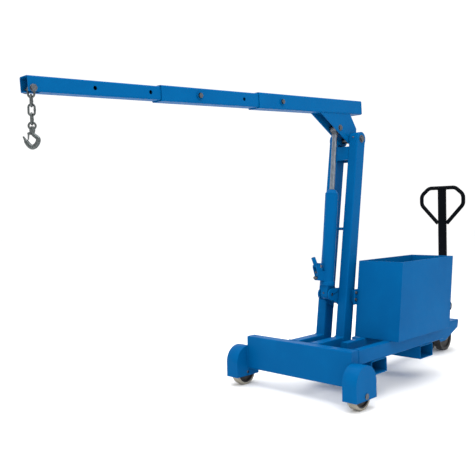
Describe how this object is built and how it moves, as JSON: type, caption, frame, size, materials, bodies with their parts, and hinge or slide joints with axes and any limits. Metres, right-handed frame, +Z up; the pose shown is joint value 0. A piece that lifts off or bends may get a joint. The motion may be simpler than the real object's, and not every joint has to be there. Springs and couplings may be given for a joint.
{
  "type": "counterweighted engine hoist crane",
  "caption": "Wheeled engine hoist crane with a telescopic boom, hand-pumped ram, chain and swivel hook, ballast box, fork pockets and a steering tiller.",
  "frame": {"origin": "bottom centre of the whole crane's box, on the floor", "axes": "-Y to the front, where the boom points; +X to the side that carries the ballast box; +Z up"},
  "size_m": [0.912, 3.2968, 1.6683],
  "materials": {
    "blue_paint": "glossy sprayed blue paint over welded steel",
    "black_paint": "satin black paint on steel tube",
    "bright_rod": "hard chromed and ground",
    "pin_steel": "zinc plated steel",
    "chain_steel": "plated forged steel",
    "bush_bronze": "machined bronze",
    "ballast_iron": "rough cast, primed grey",
    "wheel_iron": "cast, machined bore",
    "pale_tread": "cast polyurethane tread, semi matt",
    "black_tread": "solid rubber tread, matt"
  },
  "bodies": {
    "frame": {"front_beam": "blue_paint", "wheel_housings": "blue_paint", "front_axles": "pin_steel", "central_rails": "blue_paint", "outer_rail": "blue_paint", "box_support": "blue_paint", "fork_pockets": "blue_paint", "spine": "blue_paint", "mast_upright_left": "blue_paint", "mast_upright_right": "blue_paint", "mast_plates": "blue_paint", "ram_cheeks": "blue_paint", "steering_frame": "blue_paint", "head_tube": "blue_paint", "frame_bushes": "bush_bronze", "ballast_box": "blue_paint", "box_stay": "blue_paint", "ballast_slabs": "ballast_iron", "ram_foot_pin": "pin_steel"},
    "boom": {"boom_outer": "blue_paint", "boom_bracket": "blue_paint", "pivot_spacers": "pin_steel", "pivot_pin": "pin_steel", "ram_head_studs": "pin_steel", "lock_screw_rear": "pin_steel"},
    "boom_middle": {"boom_middle": "blue_paint", "lock_screw_front": "pin_steel"},
    "boom_inner": {"boom_inner": "blue_paint", "tip_pin": "pin_steel"},
    "ram": {"ram_base": "blue_paint", "ram_barrel": "blue_paint", "ram_gland": "blue_paint", "pump_block": "blue_paint"},
    "ram_rod": {"ram_piston": "pin_steel", "ram_rod": "bright_rod", "rod_eye": "pin_steel"},
    "pump_plunger": {"pump_plunger": "bright_rod"},
    "pump_lever": {"lever_socket": "blue_paint"},
    "release_valve": {"release_valve": "pin_steel"},
    "chain_1": {"chain_link_1": "chain_steel"},
    "chain_2": {"chain_link_2": "chain_steel"},
    "chain_3": {"chain_link_3": "chain_steel"},
    "chain_4": {"chain_link_4": "chain_steel"},
    "hook_eye": {"hook_eye": "chain_steel"},
    "hook": {"hook": "chain_steel"},
    "hook_latch": {"hook_latch": "chain_steel"},
    "front_wheel_left": {"front_wheel_core_left": "wheel_iron", "front_wheel_tread_left": "pale_tread"},
    "front_wheel_right": {"front_wheel_core_right": "wheel_iron", "front_wheel_tread_right": "pale_tread"},
    "steering": {"steering_stem": "blue_paint", "rear_axle": "pin_steel", "tiller_bracket": "black_paint", "tiller_bolt": "pin_steel"},
    "rear_wheel_left": {"rear_wheel_core_left": "wheel_iron", "rear_wheel_tread_left": "black_tread"},
    "rear_wheel_right": {"rear_wheel_core_right": "wheel_iron", "rear_wheel_tread_right": "black_tread"},
    "tiller": {"tiller_stem": "black_paint", "tiller_loop": "black_paint"}
  },
  "joints": [
    {"name": "boom_lift", "type": "hinge", "parent": "frame", "child": "boom", "pos_m": [0, 0.43339, 1.43], "axis": [-1, 0, 0], "range_deg": [-32, 30]},
    {"name": "ram_swing", "type": "hinge", "parent": "frame", "child": "ram", "pos_m": [0, 0.20139, 0.53], "axis": [-1, 0, 0], "range_deg": [-1.7, 1.6]},
    {"name": "rod_slide", "type": "slide", "parent": "ram", "child": "ram_rod", "axis": [0, 0.1136, 0.9935], "range_m": [-0.072, 0.068]},
    {"name": "boom_middle_slide", "type": "slide", "parent": "boom", "child": "boom_middle", "axis": [0, 0.9983, 0.0576], "range_m": [0, 0.281]},
    {"name": "boom_inner_slide", "type": "slide", "parent": "boom_middle", "child": "boom_inner", "axis": [0, 0.9983, 0.0576], "range_m": [0, 0.562]},
    {"name": "chain_1_swing", "type": "hinge", "parent": "boom_inner", "child": "chain_1", "pos_m": [0.012, -1.62032, 1.48737], "axis": [1, 0, 0], "range_deg": [-25, 25]},
    {"name": "chain_2_swing", "type": "hinge", "parent": "chain_1", "child": "chain_2", "pos_m": [0.012, -1.62032, 1.45497], "axis": [0.6691, 0.7431, 0], "range_deg": [-25, 25]},
    {"name": "chain_3_swing", "type": "hinge", "parent": "chain_2", "child": "chain_3", "pos_m": [0.012, -1.62032, 1.42128], "axis": [0.7431, -0.6691, 0], "range_deg": [-25, 25]},
    {"name": "chain_4_swing", "type": "hinge", "parent": "chain_3", "child": "chain_4", "pos_m": [0.012, -1.62032, 1.38758], "axis": [0.6691, 0.7431, 0], "range_deg": [-25, 25]},
    {"name": "hook_eye_swing", "type": "hinge", "parent": "chain_4", "child": "hook_eye", "pos_m": [0.012, -1.62032, 1.35387], "axis": [0.7431, -0.6691, 0], "range_deg": [-25, 25]},
    {"name": "hook_swivel", "type": "hinge", "parent": "hook_eye", "child": "hook", "pos_m": [0.012, -1.62032, 1.32818], "axis": [0, 0, 1], "continuous": true},
    {"name": "hook_latch_spring", "type": "hinge", "parent": "hook", "child": "hook_latch", "pos_m": [0.00297, -1.63035, 1.32018], "axis": [0.7431, -0.6691, 0], "range_deg": [0, 25], "stiffness_Nm_per_rad": 0.05, "springref_deg": -11.46},
    {"name": "pump_lever_swing", "type": "hinge", "parent": "ram", "child": "pump_lever", "pos_m": [-0.02596, 0.13997, 0.69605], "axis": [0.9511, -0.307, 0.0351], "range_deg": [0, 40]},
    {"name": "pump_plunger_slide", "type": "slide", "parent": "ram", "child": "pump_plunger", "axis": [0, 0.1136, 0.9935], "range_m": [0, 0.018]},
    {"name": "release_valve_turn", "type": "hinge", "parent": "ram", "child": "release_valve", "pos_m": [-0.02348, 0.1398, 0.62763], "axis": [-0.309, -0.9449, 0.108], "range_deg": [0, 180]},
    {"name": "front_wheel_left_roll", "type": "hinge", "parent": "frame", "child": "front_wheel_left", "pos_m": [0.404, -0.08661, 0.075], "axis": [1, 0, 0], "continuous": true},
    {"name": "front_wheel_right_roll", "type": "hinge", "parent": "frame", "child": "front_wheel_right", "pos_m": [-0.404, -0.08661, 0.075], "axis": [1, 0, 0], "continuous": true},
    {"name": "steering_turn", "type": "hinge", "parent": "frame", "child": "steering", "pos_m": [0, 1.50139, 0.288], "axis": [0, 0, 1], "range_deg": [-90, 90]},
    {"name": "rear_wheel_left_roll", "type": "hinge", "parent": "steering", "child": "rear_wheel_left", "pos_m": [0.05, 1.50139, 0.09], "axis": [1, 0, 0], "continuous": true},
    {"name": "rear_wheel_right_roll", "type": "hinge", "parent": "steering", "child": "rear_wheel_right", "pos_m": [-0.05, 1.50139, 0.09], "axis": [1, 0, 0], "continuous": true},
    {"name": "tiller_tilt", "type": "hinge", "parent": "steering", "child": "tiller", "pos_m": [0, 1.61639, 0.302], "axis": [-1, 0, 0], "range_deg": [0, 75], "stiffness_Nm_per_rad": 34, "springref_deg": -17.19}
  ],
  "couplings": [
    {"joint": "ram_swing", "follows": "boom_lift", "ratio": 0.0453},
    {"joint": "rod_slide", "follows": "boom_lift", "m_per_rad": 0.1235},
    {"joint": "pump_plunger_slide", "follows": "pump_lever_swing", "m_per_rad": 0.024}
  ]
}
